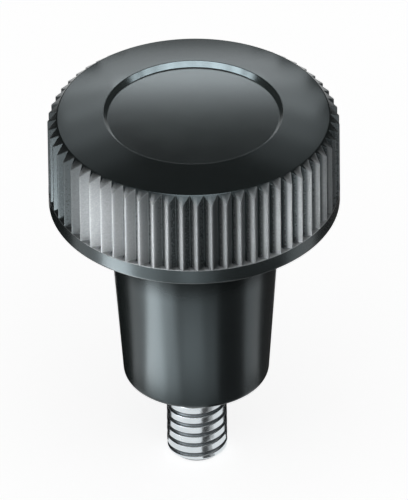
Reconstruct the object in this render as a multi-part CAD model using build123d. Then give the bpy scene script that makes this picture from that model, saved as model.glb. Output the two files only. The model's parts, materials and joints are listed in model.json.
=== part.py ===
from build123d import *
import os
from math import cos, pi, radians, sin, sqrt, tan

# Knurled clamping knob: a moulded black head and hub on a zinc-plated screw.
# Frame: Z along the knob's axis, head up, origin in the middle of the hub's seat face.

# Head
head_diameter = 30.5
flange_height = 1.8
tooth_length = 8.1
bevel_width = 1.0
bevel_height = 0.8
crown_radius = 100.0
flange_edge_chamfer = 0.3

# Teeth of the rim
tooth_count = 62
tooth_depth = 0.92
crest_land = 0.12

# Recess in the top
recess_diameter = 18.8
recess_depth = 0.55
recess_wall_width = 0.45

# Hub
hub_length = 21.5
hub_seat_diameter = 15.3
hub_root_diameter = 18.3
hub_seat_chamfer = 0.4
hub_root_radius = 0.8

# Relief for the thread's run-out, in the seat face
relief_clearance = 0.9
relief_angle = 45.0

# Screw that is moulded into the hub
thread_diameter = 6.35
thread_pitch = 1.27
thread_length = 10.5
tip_chamfer = 0.7
shank_length = 14.9
hex_across_flats = 11.1
hex_height = 4.1
hex_chamfer_angle = 30.0
hex_sides = 6

# A thread is rolled up from a plain shank by this share of its pitch
thread_height_share = 0.325

# Reach of a cut past the face where it leaves the body
cut_overrun = 1.0

# Radii and heights that follow from the sizes above
head_radius = head_diameter / 2
top_edge_radius = head_radius - bevel_width
recess_radius = recess_diameter / 2
floor_radius = recess_radius - recess_wall_width
hub_seat_outer = hub_seat_diameter / 2
hub_root_outer = hub_root_diameter / 2
thread_radius = thread_diameter / 2
shank_radius = thread_radius - thread_height_share * thread_pitch

ledge_height = hub_length + flange_height
crest_height = ledge_height + tooth_length
top_edge_height = crest_height + bevel_height
crown_rise = sqrt(crown_radius**2 - recess_radius**2) - sqrt(crown_radius**2 - top_edge_radius**2)
rim_height = top_edge_height + crown_rise
floor_height = rim_height - recess_depth


def corner_of(face, corner):
    # The outline's vertex at the given corner.
    return face.vertices().sort_by_distance((*corner, 0))[0]


def turn(face):
    # A half section drawn as radius and height is turned round the knob's axis.
    return revolve(Plane.XZ * face, Axis.Z)


def make_blank():
    # Half section of the moulding before teeth are cut and the screw is let in.
    seat_corner = (hub_seat_outer, 0)
    root_corner = (hub_root_outer, hub_length)
    flange_corner = (head_radius, hub_length)
    crest_corner = (head_radius, crest_height)
    top_edge = (top_edge_radius, top_edge_height)
    rim = (recess_radius, rim_height)
    floor_corner = (floor_radius, floor_height)

    side = Polyline((0, 0), seat_corner, root_corner, flange_corner, crest_corner, top_edge)
    crown = RadiusArc(top_edge, rim, -crown_radius)
    recess = Polyline(rim, floor_corner, (0, floor_height), (0, 0))
    section = make_face([*side.edges(), *crown.edges(), *recess.edges()])

    section = chamfer(corner_of(section, seat_corner), hub_seat_chamfer)
    section = fillet(corner_of(section, root_corner), hub_root_radius)
    section = chamfer(corner_of(section, flange_corner), flange_edge_chamfer)
    return turn(section)


def make_knurl_cutter():
    # Ring round a star of straight flanks. Each flank runs from a valley through the edge of
    # a crest land to the point where the tooth would be sharp, outside the head.
    half_pitch = pi / tooth_count
    valley_radius = head_radius - tooth_depth
    valley_depth_on_axis = valley_radius * cos(half_pitch)
    valley_half_width = valley_radius * sin(half_pitch)
    half_land = crest_land / 2
    land_on_axis = sqrt(head_radius**2 - half_land**2)
    run_to_sharp = valley_half_width / (valley_half_width - half_land)
    sharp_radius = valley_depth_on_axis + run_to_sharp * (land_on_axis - valley_depth_on_axis)

    front = -pi / 2
    outline = []
    for tooth in range(tooth_count):
        crest_angle = front + 2 * tooth * half_pitch
        valley_angle = crest_angle + half_pitch
        outline.append((sharp_radius * cos(crest_angle), sharp_radius * sin(crest_angle)))
        outline.append((valley_radius * cos(valley_angle), valley_radius * sin(valley_angle)))

    star = Polygon(*outline, align=None)
    ring = Circle(sharp_radius + cut_overrun) - star
    return extrude(Pos(Z=ledge_height) * ring, amount=rim_height - ledge_height + cut_overrun)


def make_relief():
    # Countersink in the seat face that keeps the seat clear of the thread's last turn.
    mouth_radius = thread_radius + relief_clearance
    depth = (mouth_radius - shank_radius) / tan(radians(relief_angle))
    return turn(Polygon((0, 0), (mouth_radius, 0), (shank_radius, depth), (0, depth), align=None))


def make_screw():
    # Threaded end at its full diameter below the seat face, plain shank and hex head inside.
    tip = -thread_length
    spindle = turn(
        Polygon(
            (0, tip),
            (thread_radius - tip_chamfer, tip),
            (thread_radius, tip + tip_chamfer),
            (thread_radius, 0),
            (shank_radius, 0),
            (shank_radius, shank_length),
            (0, shank_length),
            align=None,
        )
    )

    flat_radius = hex_across_flats / 2
    corner_radius = flat_radius / cos(pi / hex_sides)
    corner_drop = (corner_radius - flat_radius) * tan(radians(hex_chamfer_angle))
    hexagon = RegularPolygon(flat_radius, hex_sides, major_radius=False)
    prism = extrude(hexagon, amount=hex_height)
    dome = turn(
        Polygon(
            (0, 0),
            (corner_radius + cut_overrun, 0),
            (corner_radius + cut_overrun, hex_height - corner_drop),
            (corner_radius, hex_height - corner_drop),
            (flat_radius, hex_height),
            (0, hex_height),
            align=None,
        )
    )
    return spindle + Pos(Z=shank_length) * (prism & dome)


threaded_stud = make_screw()
knob_body = make_blank() - make_knurl_cutter() - make_relief() - threaded_stud

os.makedirs("parts", exist_ok=True)
for node, solid in {"knob_body": knob_body, "threaded_stud": threaded_stud}.items():
    export_step(solid, f"parts/{node}.step")
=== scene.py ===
import json
import math

import bmesh
import bpy
import numpy as np
from mathutils import Matrix, Vector


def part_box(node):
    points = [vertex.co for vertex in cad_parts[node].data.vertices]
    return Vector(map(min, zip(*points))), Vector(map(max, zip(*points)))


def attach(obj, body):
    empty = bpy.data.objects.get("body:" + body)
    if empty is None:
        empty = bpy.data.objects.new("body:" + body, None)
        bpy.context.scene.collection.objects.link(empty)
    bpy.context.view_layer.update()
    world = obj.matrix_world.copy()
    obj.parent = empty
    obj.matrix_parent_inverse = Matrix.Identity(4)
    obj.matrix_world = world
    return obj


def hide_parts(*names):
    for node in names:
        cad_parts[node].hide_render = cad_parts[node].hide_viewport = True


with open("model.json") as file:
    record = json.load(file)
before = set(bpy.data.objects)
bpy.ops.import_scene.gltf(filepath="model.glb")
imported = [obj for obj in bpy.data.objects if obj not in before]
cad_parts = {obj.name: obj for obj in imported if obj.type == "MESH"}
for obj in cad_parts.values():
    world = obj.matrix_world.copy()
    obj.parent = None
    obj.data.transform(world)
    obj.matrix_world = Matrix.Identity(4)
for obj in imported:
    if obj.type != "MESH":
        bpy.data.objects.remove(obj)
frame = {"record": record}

scene = bpy.context.scene
scene.view_settings.view_transform = "Standard"
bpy.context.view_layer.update()  # the CAD model's box, before any piece is added
mm = 0.001
bodyHigh = np.array(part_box("knob_body")[1]) / mm
studLow = np.array(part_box("threaded_stud")[0]) / mm
print("frame loaded, head across", round(2 * bodyHigh[0], 2), "mm")


# Mesh helpers

grid = {
    "setbackLimit": 0.4,  # a round takes at most this share of the run beside it
    "guardReach": 1.2,  # a guard row lies this many setbacks from the corner
    "shortest": 1e-9,  # millimetres; keeps a run of no length from dividing by zero
    "weld": 2e-8,  # metres; points closer than this become one
    "sliver": 1e-8,
}


def softMin(a, b, blend):
    # Smaller of two values, with the corner between them rounded over about the blend's width.
    return 0.5 * (a + b - np.sqrt((a - b) ** 2 + blend ** 2))


def softMax(a, b, blend):
    return -softMin(-a, -b, blend)


def smoothStep(value, low, high):
    # Rises from 0 at the low value to 1 at the high one, and is level at both ends.
    t = np.clip((value - low) / (high - low), 0, 1)
    return t ** 2 * (3 - 2 * t)


def roundedRows(corners):
    # A half section that changes with the angle. Each corner is a radius and a height (numbers, or one
    # value per column), a setback and a count of points. Straight runs join the corners, and at each
    # corner a quadratic curve leads from one setback point to the other. A guard row just past each
    # end of the curve keeps the shading of the straight runs flat.
    columns = max(np.size(value) for corner in corners for value in corner[:2])
    spot = np.array([[np.broadcast_to(value, columns) for value in corner[:2]] for corner in corners])
    rows = []
    for k, (_, _, setback, count) in enumerate(corners):
        here = spot[k]
        if count == 1:
            rows.append(here)
            continue
        legs, guards = [], []
        for neighbour in (spot[k - 1], spot[k + 1]):
            run = neighbour - here
            length = np.maximum(np.linalg.norm(run, axis=0), grid["shortest"])
            share = np.minimum(setback / length, grid["setbackLimit"])
            legs.append(here + run * share)
            guards.append(here + run * share * grid["guardReach"])
        rows.append(guards[0])
        for t in np.linspace(0, 1, count):
            rows.append((1 - t) ** 2 * legs[0] + 2 * t * (1 - t) * here + t ** 2 * legs[1])
        rows.append(guards[1])
    return np.array(rows)  # rows, (radius, height), columns


def turned(rows, angles):
    # Radius and height become X, Y and Z; the angle starts at the front, which is -Y, and runs to +X.
    radius, height = rows[:, 0], rows[:, 1]
    return np.stack([radius * np.sin(angles), -radius * np.cos(angles), height], axis=-1)


def skinMesh(name, points, marks, helixRows=(0, 0), seamShift=0):
    # A closed skin over a grid of points, rows by columns. The first and last rows lie on the axis.
    # Over the helix rows, the last column joins the first one seamShift rows further up.
    rowCount, columnCount = points.shape[:2]
    row = np.arange(rowCount - 1)[:, None]
    column = np.arange(columnCount)[None, :]
    wraps = column == columnCount - 1
    after = np.where(wraps, 0, column + 1)

    def across(r):
        first, last = helixRows
        shifted = np.minimum(r + seamShift, last)
        return np.where(wraps & (r >= first) & (r <= last), shifted, r)

    quads = np.stack([
        row * columnCount + column + 0 * after,
        across(row) * columnCount + after,
        across(row + 1) * columnCount + after,
        (row + 1) * columnCount + column + 0 * after,
    ], axis=-1).reshape(-1, 4)
    mesh = bpy.data.meshes.new(name)
    mesh.from_pydata((points.reshape(-1, 3) * mm).tolist(), [], quads.tolist())
    for label, values in marks.items():
        layer = mesh.attributes.new(label, "FLOAT", "POINT")
        layer.data.foreach_set("value", np.ascontiguousarray(values, np.float32).ravel())
    work = bmesh.new()
    work.from_mesh(mesh)
    bmesh.ops.remove_doubles(work, verts=work.verts, dist=grid["weld"])
    bmesh.ops.dissolve_degenerate(work, edges=work.edges, dist=grid["sliver"])
    bmesh.ops.recalc_face_normals(work, faces=work.faces)
    for face in work.faces:
        face.smooth = True
    work.to_mesh(mesh)
    work.free()
    piece = bpy.data.objects.new(name, mesh)
    scene.collection.objects.link(piece)
    print(name, len(mesh.polygons), "faces")
    return piece


# Moulded head and hub

knob = {  # millimetres and degrees
    "toothCount": 62,
    "toothDepth": 0.92,
    "crestLand": 0.12,
    "crestBlend": 0.03,
    "valleyBlendShare": 0.05,  # share of half a tooth
    "columnShares": (0.0, 0.05, 0.09, 0.15, 0.3, 0.5, 0.86, 0.95, 1.0),  # crest to valley
    "flangeHeight": 1.8,
    "toothLength": 8.1,
    "bevelWidth": 1.0,
    "bevelHeight": 0.8,
    "crownRadius": 100.0,
    "crownRows": 9,
    "floorRows": (0.4, 0.8),  # shares of the recess floor's radius
    "recessDiameter": 18.8,
    "recessWall": 0.45,
    "recessDepth": 0.55,
    "recessLip": 0.05,
    "recessFoot": 0.02,
    "hubLength": 21.5,
    "hubRootDiameter": 18.3,
    "hubSeatDiameter": 15.3,
    "hubRootFillet": 0.8,
    "hubSeatRound": 0.45,
    "flangeRound": 0.28,
    "edgeRound": 0.07,
    "finePoints": 4,  # points along a round, from the small ones to the fillet
    "edgePoints": 5,
    "softPoints": 6,
    "filletPoints": 7,
    "reliefClearance": 0.9,
    "slackFade": (0.42, 0.78),  # share of the tooth depth over which scuffing and painted highlight set in on the slack flank
    "pushWear": 0.85,  # scuffing and painted highlight all over the flank that the fingers push
    "crestPower": 8,  # how close to the crest the pushed flank is scuffed through and painted bright
    "pushLobes": 4,  # sides of the head that are pushed the most; the flanks between them are left darker as painted shade
    "pushLobeAngle": -51.0,
    "pushLobeShare": 0.46,
    "gripAngle": 6.0,  # the two opposite sides that thumb and fingers take; the others stay darker as painted shade
    "gripFade": (0.31, 0.62),  # cosine of the angle from the middle of the grip
    "gripRest": 0.12,  # share of the scuffing and painted highlight that is left between the grips
}
stud = {  # millimetres and degrees
    "threadPitch": 1.27,
    "threadDepthShare": 0.27,  # shares of the pitch; the drawn crests are wide and flat
    "crestFlatShare": 0.63,
    "threadFlankAngle": 30.0,
    "threadBlend": 0.06,
    "tipBlend": 0.03,
    "tipRow": 0.6,  # share of the tip's radius
    "rowsPerTurn": 32,
    "columns": 96,
    "tipChamfer": 0.7,
    "shankDropShare": 0.325,
    "shankLength": 14.9,
    "hexAcrossFlats": 11.1,
    "hexHeight": 4.1,
    "hexChamferAngle": 30.0,
    "hexTopRow": 0.5,  # share of half the width across flats
}
threadRadius = next(m for m in frame["record"]["mounts"] if m["name"] == "stud")["dims"]["r_mm"]
shankRadius = threadRadius - stud["shankDropShare"] * stud["threadPitch"]


def toothRadius(angle, headRadius):
    # Distance from the axis to the rim: straight flanks from a crest land to a valley, repeated round
    # the head. The angle is folded to the half tooth, where the flank is a line through two points.
    half = math.pi / knob["toothCount"]
    folded = np.abs((angle + half) % (2 * half) - half)
    folded = softMin(folded, 2 * half - folded, knob["valleyBlendShare"] * half)
    landAngle = 0.5 * knob["crestLand"] / headRadius
    valley = (headRadius - knob["toothDepth"]) * np.array([math.cos(half), math.sin(half)])
    crest = headRadius * np.array([math.cos(landAngle), math.sin(landAngle)])
    run = valley - crest
    flank = (crest[0] * valley[1] - crest[1] * valley[0]) / (
        np.cos(folded) * run[1] - np.sin(folded) * run[0])
    return softMin(flank, headRadius, knob["crestBlend"])


def hexRadius(angle):
    # Distance from the axis to a hexagon's side, with flats facing the front and back.
    side = math.radians(60)
    flat = stud["hexAcrossFlats"] / 2
    return flat / np.cos((angle + side / 2) % side - side / 2)


def hexCorners(angle, base):
    # Corners of the anchor head from its underside to the axis; 30 degree chamfer on its corners.
    flat = stud["hexAcrossFlats"] / 2
    outline = hexRadius(angle)
    drop = (outline - flat) * math.tan(math.radians(stud["hexChamferAngle"]))
    top = base + stud["hexHeight"]
    return [(outline, base, 0, 1), (outline, top - drop, 0, 1), (flat, top, 0, 1),
            (stud["hexTopRow"] * flat, top, 0, 1), (0.0, top, 0, 1)]


def buildKnob():
    # Half section from the middle of the recess, over the crown, down the teeth and the hub, and up
    # into the pocket that holds the stud.
    half = math.pi / knob["toothCount"]
    shares = np.array(knob["columnShares"])
    oneTooth = np.concatenate([shares[:-1], 2 - shares[:0:-1]]) * half
    angles = (np.arange(knob["toothCount"])[:, None] * 2 * half + oneTooth).ravel()

    headRadius, rimHeight = bodyHigh[0], bodyHigh[2]
    rim = toothRadius(angles, headRadius)
    recessRadius = knob["recessDiameter"] / 2
    floorRadius = recessRadius - knob["recessWall"]
    floorHeight = rimHeight - knob["recessDepth"]
    topRadius = headRadius - knob["bevelWidth"]
    hubTop = knob["hubLength"]
    ledge = hubTop + knob["flangeHeight"]
    topHeight = ledge + knob["toothLength"] + knob["bevelHeight"]
    bevelFoot = topHeight - (rim - topRadius) * knob["bevelHeight"] / knob["bevelWidth"]
    mouth = threadRadius + knob["reliefClearance"]
    edge = knob["edgeRound"]

    crownRadii = np.linspace(recessRadius, topRadius, knob["crownRows"])[1:-1]
    crownFall = np.sqrt(knob["crownRadius"] ** 2 - recessRadius ** 2) - np.sqrt(
        knob["crownRadius"] ** 2 - crownRadii ** 2)
    fine, small = knob["finePoints"], knob["edgePoints"]
    soft, fillet = knob["softPoints"], knob["filletPoints"]
    corners = [(0.0, floorHeight, 0, 1)]
    corners += [(share * floorRadius, floorHeight, 0, 1) for share in knob["floorRows"]]
    corners += [
        (floorRadius, floorHeight, knob["recessFoot"], soft),
        (recessRadius, rimHeight, knob["recessLip"], soft),
    ]
    corners += [(r, rimHeight - fall, 0, 1) for r, fall in zip(crownRadii, crownFall)]
    corners += [
        (topRadius, topHeight, edge, small),
        (rim, bevelFoot, edge, small),
        (rim, ledge, edge, fine),
        (headRadius, ledge, edge, fine),
        (headRadius, hubTop, knob["flangeRound"], small),
        (knob["hubRootDiameter"] / 2, hubTop, knob["hubRootFillet"], fillet),
        (knob["hubSeatDiameter"] / 2, 0.0, knob["hubSeatRound"], soft),
        (mouth, 0.0, edge, fine),
        (shankRadius, mouth - shankRadius, 0, 1),
        (shankRadius, stud["shankLength"], 0, 1),
    ]
    corners += hexCorners(angles, stud["shankLength"])
    rows = roundedRows(corners)
    points = turned(rows, angles)

    # Handling has scuffed the teeth from the crest down, most on the flanks that fingers push and on the
    # two sides where the head is gripped. The pale scuffed grey also serves as painted highlight on the
    # flanks and crests, and the sides left darker are painted shade. Valleys keep the mould's skin.
    onTeeth = (rows[:, 1] > ledge - edge) & (rows[:, 0] > topRadius - edge)
    upFlank = np.clip((rows[:, 0] - headRadius) / knob["toothDepth"] + 1, 0, 1)
    pushed = (angles + half) % (2 * half) - half > 1e-6
    slack = smoothStep(upFlank, *knob["slackFade"])
    # Four lobes of scuffing round the head; the flanks between them are left darker as painted shade.
    lobesPushAndShade = np.cos(knob["pushLobes"] * (angles - math.radians(knob["pushLobeAngle"])))
    evenShare = 1 - knob["pushLobeShare"]
    push = knob["pushWear"] * (evenShare + knob["pushLobeShare"] * lobesPushAndShade)
    push = push + (1 - push) * upFlank ** knob["crestPower"]
    upBevel = np.clip((rows[:, 1] - bevelFoot) / (topHeight - bevelFoot), 0, 1)
    # Two opposite grips keep the scuffing; the left and right sides of the rim are left darker as painted
    # shade.
    gripAndSideShade = smoothStep(np.abs(np.cos(angles - math.radians(knob["gripAngle"]))), *knob["gripFade"])
    gripAndSideShade = knob["gripRest"] + (1 - knob["gripRest"]) * gripAndSideShade
    wear = np.where(onTeeth, np.where(pushed, push, slack) * (1 - upBevel) * gripAndSideShade, 0.0)
    onTop = (rows[:, 1] > ledge + edge) & (rows[:, 0] < topRadius + edge)
    return skinMesh("knobSkin", points, {"wear": wear, "topFace": np.where(onTop, 1.0, 0.0)})


def buildStud():
    # The thread is a 60 degree profile carried along a helix: rows of the grid climb one pitch in a
    # turn, so each row keeps its place on the profile. Heights are held between the tip and the hub.
    pitch, perTurn, columns = stud["threadPitch"], stud["rowsPerTurn"], stud["columns"]
    tip = studLow[2]
    angles = np.arange(columns) * 2 * math.pi / columns
    rowCount = perTurn * math.ceil(-tip / pitch + 1) + 1
    start = tip - pitch + pitch * np.arange(rowCount)[:, None] / perTurn
    height = np.clip(start + pitch * angles / (2 * math.pi), tip, 0.0)
    phase = ((height - tip) / pitch - angles / (2 * math.pi)) % 1.0
    offCrest = np.abs(phase - 0.5) - stud["crestFlatShare"] / 2
    flank = threadRadius - offCrest * pitch / math.tan(math.radians(stud["threadFlankAngle"]))
    root = threadRadius - stud["threadDepthShare"] * pitch
    radius = softMax(softMin(flank, threadRadius, stud["threadBlend"]), root, stud["threadBlend"])
    chamfer = threadRadius - stud["tipChamfer"] + (height - tip)
    radius = softMin(radius, chamfer, stud["tipBlend"])
    helix = np.stack([radius, height], axis=1)

    tipRadius = threadRadius - stud["tipChamfer"]
    tipRows = roundedRows([(0.0 * angles, tip, 0, 1), (stud["tipRow"] * tipRadius, tip, 0, 1)])
    above = roundedRows([(shankRadius, 0.0, 0, 1), (shankRadius, stud["shankLength"], 0, 1)]
                        + hexCorners(angles, stud["shankLength"]))
    rows = np.concatenate([tipRows, helix, above])
    depth = np.clip((threadRadius - rows[:, 0]) / (threadRadius - root), 0, 1)
    return skinMesh("studThread", turned(rows, angles), {"rootDepth": depth},
                    helixRows=(len(tipRows), len(tipRows) + rowCount - 1), seamShift=perTurn)


knobSkin = buildKnob()
studThread = buildStud()
for piece, node, slot in ((knobSkin, "knob_body", "black_plastic"),
                          (studThread, "threaded_stud", "zinc_steel")):
    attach(piece, "root")
    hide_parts(node)
print("pieces placed")


# Shader helpers

class Wire:
    # One output socket. Sums, differences, products and powers of wires and numbers add Math nodes.
    def __init__(self, finish, socket):
        self.finish = finish
        self.socket = socket

    def math(self, operation, first, second):
        return self.finish.node("ShaderNodeMath", {"operation": operation}, {0: first, 1: second})

    def __add__(self, other):
        return self.math("ADD", self, other)

    def __radd__(self, other):
        return self.math("ADD", other, self)

    def __sub__(self, other):
        return self.math("SUBTRACT", self, other)

    def __rsub__(self, other):
        return self.math("SUBTRACT", other, self)

    def __mul__(self, other):
        return self.math("MULTIPLY", self, other)

    def __rmul__(self, other):
        return self.math("MULTIPLY", other, self)

    def __pow__(self, other):
        return self.math("POWER", self, other)


class Finish:
    # A material with one Principled shader and the nodes that feed it.
    def __init__(self, name, constants):
        self.material = bpy.data.materials.new(name)
        self.material.use_nodes = True
        self.tree = self.material.node_tree
        self.shader = next(n for n in self.tree.nodes if n.type == "BSDF_PRINCIPLED")
        for label, value in constants.items():
            self.shader.inputs[label].default_value = value

    def plug(self, target, value):
        if isinstance(value, Wire):
            self.tree.links.new(value.socket, target)
        else:
            target.default_value = value

    def node(self, kind, settings=None, sockets=None, output=0):
        made = self.tree.nodes.new(kind)
        for label, value in (settings or {}).items():
            setattr(made, label, value)
        for label, value in (sockets or {}).items():
            self.plug(made.inputs[label], value)
        return Wire(self, made.outputs[output])

    def feed(self, **inputs):
        for label, value in inputs.items():
            self.plug(self.shader.inputs[label.replace("_", " ")], value)

    def cover(self, amount, colour):
        # A dull layer that hides the shader by this amount.
        dull = self.node("ShaderNodeBsdfDiffuse", None, {"Color": colour})
        skin = Wire(self, self.shader.outputs[0])
        both = self.node("ShaderNodeMixShader", None, {0: amount, 1: skin, 2: dull})
        end = next(n for n in self.tree.nodes if n.type == "OUTPUT_MATERIAL")
        self.plug(end.inputs["Surface"], both)

    def noise(self, scale, detail):
        where = self.node("ShaderNodeTexCoord", output="Object")
        return self.node("ShaderNodeTexNoise", None, {"Vector": where, "Scale": scale, "Detail": detail})

    def blendColour(self, amount, first, second):
        sockets = {0: amount, 6: first, 7: second}
        return self.node("ShaderNodeMix", {"data_type": "RGBA"}, sockets, output=2)


# Satin black moulding

plastic = {
    "deep": (0.0100, 0.0124, 0.0122, 1.0),
    "pale": (0.0145, 0.0178, 0.0176, 1.0),
    # pale grey of scuffed teeth, which also serves as painted highlight on flanks and crests
    "rubbed": (0.465, 0.483, 0.495, 1.0),
    "ior": 1.6,
    "specularTint": (0.75, 0.93, 1.0, 1.0),
    "wearPlain": 0.55,  # share of the scuffing and painted highlight that is even, and share that follows the grain
    "wearGrain": 0.45,
    "roughness": 0.26,
    "topPolish": 0.08,  # the top face is this much smoother
    "wearRoughness": 0.12,  # and scuffed plastic this much rougher
    "cloudSpread": 0.03,
    "grainSpread": 0.05,
    "grainScale": 5200.0,  # per metre, so a grain is about a fifth of a millimetre
    "grainDetail": 4.0,
    "grainHeight": 0.0000015,
    "cloudScale": 420.0,
    "cloudDetail": 3.0,
    "grimeRise": (13.8, 17.3),  # millimetres up the hub over which the painted shadow under the head sets in
    "grimeShare": 0.74,
    "grimeSpread": 0.3,
}


def plasticFinish():
    finish = Finish("satinBlackMoulding", {"IOR": plastic["ior"], "Specular Tint": plastic["specularTint"]})
    grain = finish.noise(plastic["grainScale"], plastic["grainDetail"])
    cloud = finish.noise(plastic["cloudScale"], plastic["cloudDetail"])
    wear = finish.node("ShaderNodeAttribute", {"attribute_name": "wear"}, output="Fac")
    topFace = finish.node("ShaderNodeAttribute", {"attribute_name": "topFace"}, output="Fac")
    body = finish.blendColour(cloud, plastic["deep"], plastic["pale"])
    # The pale grey on the teeth is scuffing and also painted highlight; the sides where it is held back read
    # as painted shade.
    scuffAndHighlight = wear * (plastic["wearPlain"] + plastic["wearGrain"] * grain)
    colour = finish.blendColour(scuffAndHighlight, body, plastic["rubbed"])
    roughness = plastic["roughness"] + plastic["cloudSpread"] * (cloud - 0.5)
    roughness = roughness + plastic["grainSpread"] * (grain - 0.5)
    roughness = roughness + plastic["wearRoughness"] * wear - plastic["topPolish"] * topFace
    bump = finish.node("ShaderNodeBump", None,
                       {"Height": grain, "Strength": 1.0, "Distance": plastic["grainHeight"]})
    finish.feed(Base_Color=colour, Roughness=roughness, Normal=bump)

    # Painted shadow under the head: a dull, dark layer covers the hub's gloss, rising towards the head.
    where = finish.node("ShaderNodeTexCoord", output="Object")
    height = finish.node("ShaderNodeSeparateXYZ", None, {"Vector": where}, output="Z")
    low, high = plastic["grimeRise"]
    rise = finish.node("ShaderNodeMapRange", {"interpolation_type": "SMOOTHSTEP"},
                       {"Value": height, "From Min": low * mm, "From Max": high * mm})
    onHub = height.math("LESS_THAN", height, knob["hubLength"] * mm)
    neckShade = plastic["grimeShare"] + plastic["grimeSpread"] * (cloud - 0.5)
    finish.cover(rise * onHub * neckShade, plastic["deep"])
    return finish.material


# Zinc plate over rolled steel

zinc = {
    "bright": (0.77, 0.82, 0.845, 1.0),
    "dull": (0.6, 0.655, 0.685, 1.0),
    # dark colour painted into the thread's grooves, as shade
    "root": (0.16, 0.17, 0.18, 1.0),
    "rootShare": 0.9,
    "roughness": 0.24,
    "cloudSpread": 0.12,
    "grainSpread": 0.10,
    "rootRoughness": 0.2,
    "cloudScale": 900.0,
    "cloudDetail": 3.0,
    "grainScale": 9000.0,
    "grainDetail": 4.0,
    "rollScale": 5200.0,
    "rollStretch": (0.12, 0.12, 1.0),
    "rollDetail": 3.0,
    "rollShare": 0.5,
    "grainHeight": 0.000002,
}


def zincFinish():
    finish = Finish("zincPlate", {"Metallic": 1.0})
    cloud = finish.noise(zinc["cloudScale"], zinc["cloudDetail"])
    grain = finish.noise(zinc["grainScale"], zinc["grainDetail"])
    depth = finish.node("ShaderNodeAttribute", {"attribute_name": "rootDepth"}, output="Fac")
    where = finish.node("ShaderNodeTexCoord", output="Object")
    roll = finish.node("ShaderNodeMapping", None, {"Vector": where, "Scale": zinc["rollStretch"]})
    marks = finish.node("ShaderNodeTexNoise", None,
                        {"Vector": roll, "Scale": zinc["rollScale"], "Detail": zinc["rollDetail"]})
    plate = finish.blendColour(cloud, zinc["dull"], zinc["bright"])
    # The grooves of the thread are painted darker by their depth, as shade.
    colour = finish.blendColour(depth * zinc["rootShare"], plate, zinc["root"])
    roughness = zinc["roughness"] + zinc["cloudSpread"] * (cloud - 0.5)
    roughness = roughness + zinc["grainSpread"] * (grain - 0.5) + zinc["rootRoughness"] * depth ** 2.0
    relief = (1 - zinc["rollShare"]) * grain + zinc["rollShare"] * marks
    bump = finish.node("ShaderNodeBump", None,
                       {"Height": relief, "Strength": 1.0, "Distance": zinc["grainHeight"]})
    finish.feed(Base_Color=colour, Roughness=roughness, Normal=bump)
    return finish.material


knobSkin.data.materials.append(plasticFinish())
studThread.data.materials.append(zincFinish())
print("finishes made")


# Stage: pale floor, soft boxes and a long lens

stage = {  # millimetres
    "floorSize": 6000.0,
    "floorColour": (0.86, 0.86, 0.86, 1.0),
    "floorRoughness": 0.9,
    "floorGlow": 0.83,  # added to the lit paper where the camera or a reflection sees it
    "worldLevel": 0.03,
    "flagLift": 0.4,  # height of a flag or a floor strip above the floor
    "flagPoints": 7,  # points along a flag's curved edge
}
recessLamp = {"centre": 51, "aim": 32, "size": (7, 6), "spread": 60}  # heights, size and spread
recessLamps = {  # centre and aim in plan, and radiance, of the lamps that light the wall of the recess
    "ring": ((0, -12), (0, 9.2), 1.2),
    "ringLeft": ((-5.9, -10.5), (1.6, 9.1), 1.15),
    "ringRight": ((5.9, -10.5), (-1.6, 9.1), 1.15),
    "sideLeft": ((-11.6, -8.9), (3, 8.7), 1.4),
    "sideRight": ((11.6, -8.9), (-3, 8.7), 1.15),
    "farLeft": ((-19, -5.5), (4.6, 8), 1.6),
    "farRight": ((19, -5.5), (-4.6, 8), 1.15),
    "edgeLeft": ((-27, -0.2), (5.9, 7), 1.2),
    "edgeRight": ((27, -0.2), (-5.9, 7), 0.9),
}
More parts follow.
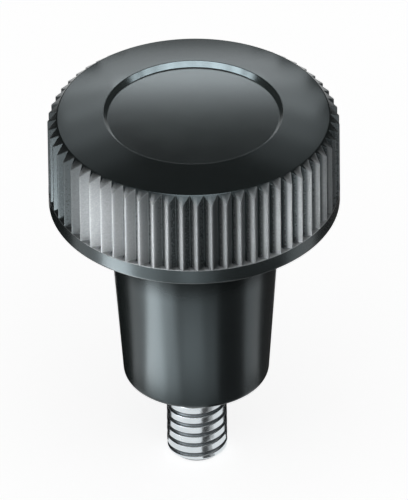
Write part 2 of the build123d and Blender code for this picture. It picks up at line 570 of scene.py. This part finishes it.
softBoxes = {  # millimetres and degrees; a box with an azimuth lies on the floor and faces up
    "overhead": {"centre": (0, -400, 800), "aim": (0, -100, 0), "size": (1500, 1500), "radiance": 0.4,
                 "floor": True},
    "zenith": {"centre": (0, -15, 130), "aim": (0, -5, 32), "along": (0, 1, 0), "size": (44, 80),
               "radiance": 3.5},
    **{name: {"centre": (*centre, recessLamp["centre"]), "aim": (*aim, recessLamp["aim"]),
              "size": recessLamp["size"], "spread": recessLamp["spread"], "radiance": radiance}
       for name, (centre, aim, radiance) in recessLamps.items()},
    "key": {"centre": (-12, -30, 27), "aim": (-5.7, -14.1, 27), "size": (6, 9),
            "spread": 50, "radiance": 2.5},
    "spark": {"centre": (-13.5, -18, 27), "aim": (-10.8, -10.8, 27), "size": (3, 8),
              "spread": 45, "radiance": 1.3},
    "mid": {"centre": (-6, -40, 27), "aim": (8.8, -16.3, 27), "size": (6, 10),
            "spread": 28, "radiance": 1.15},
    "right": {"centre": (15, -36, 27), "aim": (11, -8, 27), "size": (5, 10), "spread": 30, "radiance": 0.78},
    "backRim": {"centre": (0, 30, 38.3), "aim": (0, 0, 32), "size": (16, 2.4), "radiance": 0.6},
    "backCrown": {"centre": (0, 30, 40.8), "aim": (0, 0, 32), "size": (23, 2.6), "radiance": 1.5},
    "backWall": {"centre": (-1, 30, 44), "aim": (0, 0, 34), "size": (34, 4), "radiance": 1.8},
    "backHigh": {"centre": (0, 30, 47.5), "aim": (0, 0, 34), "size": (21, 3), "radiance": 4.6},
    "backMid": {"centre": (0, 30, 50.5), "aim": (0, 0, 34), "size": (21, 3), "radiance": 1.1},
    "backLeft": {"centre": (-15, 30, 49), "aim": (0, 0, 34), "size": (9, 6), "radiance": 1.2},
    "backRight": {"centre": (15, 30, 49), "aim": (0, 0, 34), "size": (9, 6), "radiance": 1.4},
    "upLeft": {"centre": (-16, 30, 56), "aim": (0, 0, 34), "size": (12, 8), "radiance": 0.8},
    "upRight": {"centre": (16, 30, 56), "aim": (0, 0, 34), "size": (12, 8), "radiance": 0.75},
    "endLeft": {"centre": (-16, 30, 65), "aim": (0, 0, 34), "size": (12, 10), "radiance": 0.35},
    "endRight": {"centre": (16, 30, 65), "aim": (0, 0, 34), "size": (12, 10), "radiance": 0.35},
    "hubStrip": {"azimuth": -58, "reach": (20, 47), "width": 12, "radiance": 5.0},
    "flangeStrip": {"azimuth": -58, "reach": (47, 63), "width": 22, "radiance": 11.5},
    "hubSoft": {"azimuth": -40, "reach": (20, 47), "width": 13, "radiance": 2.0},
    "flangeSoft": {"azimuth": -38, "reach": (47, 63), "width": 24, "radiance": 1.4},
    "frontStrip": {"azimuth": -5, "reach": (23, 34), "width": 13, "radiance": 1.0},
    "frontFar": {"azimuth": -5, "reach": (48, 84), "width": 13, "radiance": 1.0},
}
flags = {  # azimuth and radius ranges on the floor, and how grey the card is; seen by glossy rays only
    "rightFlag": {"azimuth": (27, 68), "radius": (13, 85), "tone": 0.10},
    "backRightFlag": {"azimuth": (96, 150), "radius": (12, 95), "tone": 0.06},
    "backLeftFlag": {"azimuth": (-150, -100), "radius": (12, 95), "tone": 0.0},
    "toothFlag": {"azimuth": (13, 27), "radius": (50, 75), "tone": 0.0},
    "neckFlag": {"azimuth": (-26, 26), "radius": (35.5, 47), "tone": 0.15},
    "footLeftFlag": {"azimuth": (-99, 26), "radius": (17.2, 19.6), "tone": 0.0},
    "footRightFlag": {"azimuth": (69, 95), "radius": (17.2, 19.6), "tone": 0.0},
    "studNearFlag": {"azimuth": (11, 29), "radius": (3.4, 6.5), "tone": 0.1},
    "studFarFlag": {"azimuth": (14, 38), "radius": (6.5, 17), "tone": 0.05},
    "studNearSide": {"azimuth": (29, 40), "radius": (3.4, 6.5), "tone": 0.42},
    "studFarSide": {"azimuth": (38, 52), "radius": (6.5, 17), "tone": 0.42},
    "studLeftFlag": {"azimuth": (-175, -100), "radius": (3.4, 12), "tone": 0.0},
    "studRightFlag": {"azimuth": (100, 175), "radius": (3.4, 12), "tone": 0.0},
}
camera = {  # millimetres and degrees
    "azimuth": -0.95,
    "elevation": 35.5,
    "roll": -0.67,
    "lens": 1100.0,
    "pixel": 0.10488,  # millimetres of the object per pixel
    "frame": (408, 500),
    "axisPixel": (194.97, 250.0),  # where the knob's axis crosses the middle row
    "axisHeight": 15.08,  # height on the axis that the middle row shows
    "clipEnd": 100.0,  # metres
}


def flatSheet(name, points, material):
    mesh = bpy.data.meshes.new(name)
    mesh.from_pydata((np.array(points) * mm).tolist(), [], [tuple(range(len(points)))])
    mesh.materials.append(material)
    sheet = bpy.data.objects.new(name, mesh)
    scene.collection.objects.link(sheet)
    return sheet


def buildFloor():
    half = stage["floorSize"] / 2
    corners = [(x * half, y * half, studLow[2]) for x, y in ((-1, -1), (1, -1), (1, 1), (-1, 1))]
    paper = Finish("palePaper", {"Base Color": stage["floorColour"], "Roughness": stage["floorRoughness"],
                                 "Specular IOR Level": 0.0, "Emission Strength": 1.0})
    rays = [paper.node("ShaderNodeLightPath", output=kind)
            for kind in ("Is Camera Ray", "Is Glossy Ray", "Is Transmission Ray")]
    seen = (rays[0] + rays[1] + rays[2]) * stage["floorGlow"]
    glow = paper.blendColour(seen, (0, 0, 0, 1), (1, 1, 1, 1))
    paper.feed(Emission_Color=glow)
    return flatSheet("floor", corners, paper.material)


def buildFlag(name, spec):
    card = Finish(name, {"Base Color": (0, 0, 0, 1), "Roughness": 1.0, "Specular IOR Level": 0.0,
                         "Emission Color": (1, 1, 1, 1), "Emission Strength": spec["tone"]})
    near, far = spec["radius"]
    azimuths = np.radians(np.linspace(*spec["azimuth"], stage["flagPoints"]))
    level = studLow[2] + stage["flagLift"]
    rim = [(near * math.sin(a), -near * math.cos(a), level) for a in azimuths]
    rim += [(far * math.sin(a), -far * math.cos(a), level) for a in azimuths[::-1]]
    flag = flatSheet(name, rim, card.material)
    flag.visible_camera = flag.visible_diffuse = flag.visible_transmission = flag.visible_shadow = False


def floorStrip(spec):
    # A strip light that lies on the floor, faces up and points away from the knob.
    azimuth = math.radians(spec["azimuth"])
    outward = Vector((math.sin(azimuth), -math.cos(azimuth), 0))
    near, far = spec["reach"]
    centre = outward * (near + far) / 2 + Vector((0, 0, studLow[2] + stage["flagLift"]))
    size = (spec["width"], far - near)
    return dict(spec, centre=centre, aim=centre + Vector((0, 0, 1)), along=outward, size=size)


def buildSoftBox(name, spec, onlyKnob):
    if "azimuth" in spec:
        spec = floorStrip(spec)
    width, height = (side * mm for side in spec["size"])
    lamp = bpy.data.lights.new(name, "AREA")
    lamp.shape = "RECTANGLE"
    lamp.size, lamp.size_y = width, height
    lamp.spread = math.radians(spec.get("spread", 180))
    lamp.energy = spec["radiance"] * math.pi * width * height
    box = bpy.data.objects.new(name, lamp)
    back = (Vector(spec["centre"]) - Vector(spec["aim"])).normalized()
    side = Vector(spec.get("along", (0, 0, 1))).cross(back).normalized()
    box.matrix_world = Matrix.Translation(Vector(spec["centre"]) * mm) @ Matrix(
        (side, back.cross(side), back)).transposed().to_4x4()
    box.visible_camera = False
    scene.collection.objects.link(box)
    if not spec.get("floor"):
        box.light_linking.receiver_collection = onlyKnob


def buildCamera():
    azimuth, elevation = math.radians(camera["azimuth"]), math.radians(camera["elevation"])
    back = Vector((math.sin(azimuth) * math.cos(elevation), -math.cos(azimuth) * math.cos(elevation),
                   math.sin(elevation)))
    right = Vector((math.cos(azimuth), math.sin(azimuth), 0))
    lens = bpy.data.cameras.new("photoCamera")
    lens.lens = camera["lens"]
    sideStep = (camera["frame"][0] / 2 - camera["axisPixel"][0]) * camera["pixel"]
    target = Vector((0, 0, camera["axisHeight"])) + right * sideStep
    distance = camera["lens"] * max(camera["frame"]) * camera["pixel"] / lens.sensor_width
    view = bpy.data.objects.new("photoCamera", lens)
    roll = Matrix.Rotation(math.radians(camera["roll"]), 3, "Z")
    turn = (-back).to_track_quat("-Z", "Y").to_matrix() @ roll
    view.matrix_world = Matrix.Translation((target + back * distance) * mm) @ turn.to_4x4()
    scene.collection.objects.link(view)
    scene.camera = view
    lens.dof.use_dof = False
    lens.clip_end = camera["clipEnd"]


buildFloor()
for name, spec in flags.items():
    buildFlag(name, spec)
onlyKnob = bpy.data.collections.new("onlyKnob")
for piece in (knobSkin, studThread):
    onlyKnob.objects.link(piece)
for name, spec in softBoxes.items():
    buildSoftBox(name, spec, onlyKnob)
scene.world = bpy.data.worlds.new("studio")
scene.world.use_nodes = True
sky = scene.world.node_tree.nodes["Background"]
sky.inputs["Color"].default_value = (1, 1, 1, 1)
sky.inputs["Strength"].default_value = stage["worldLevel"]
buildCamera()
print("stage set")
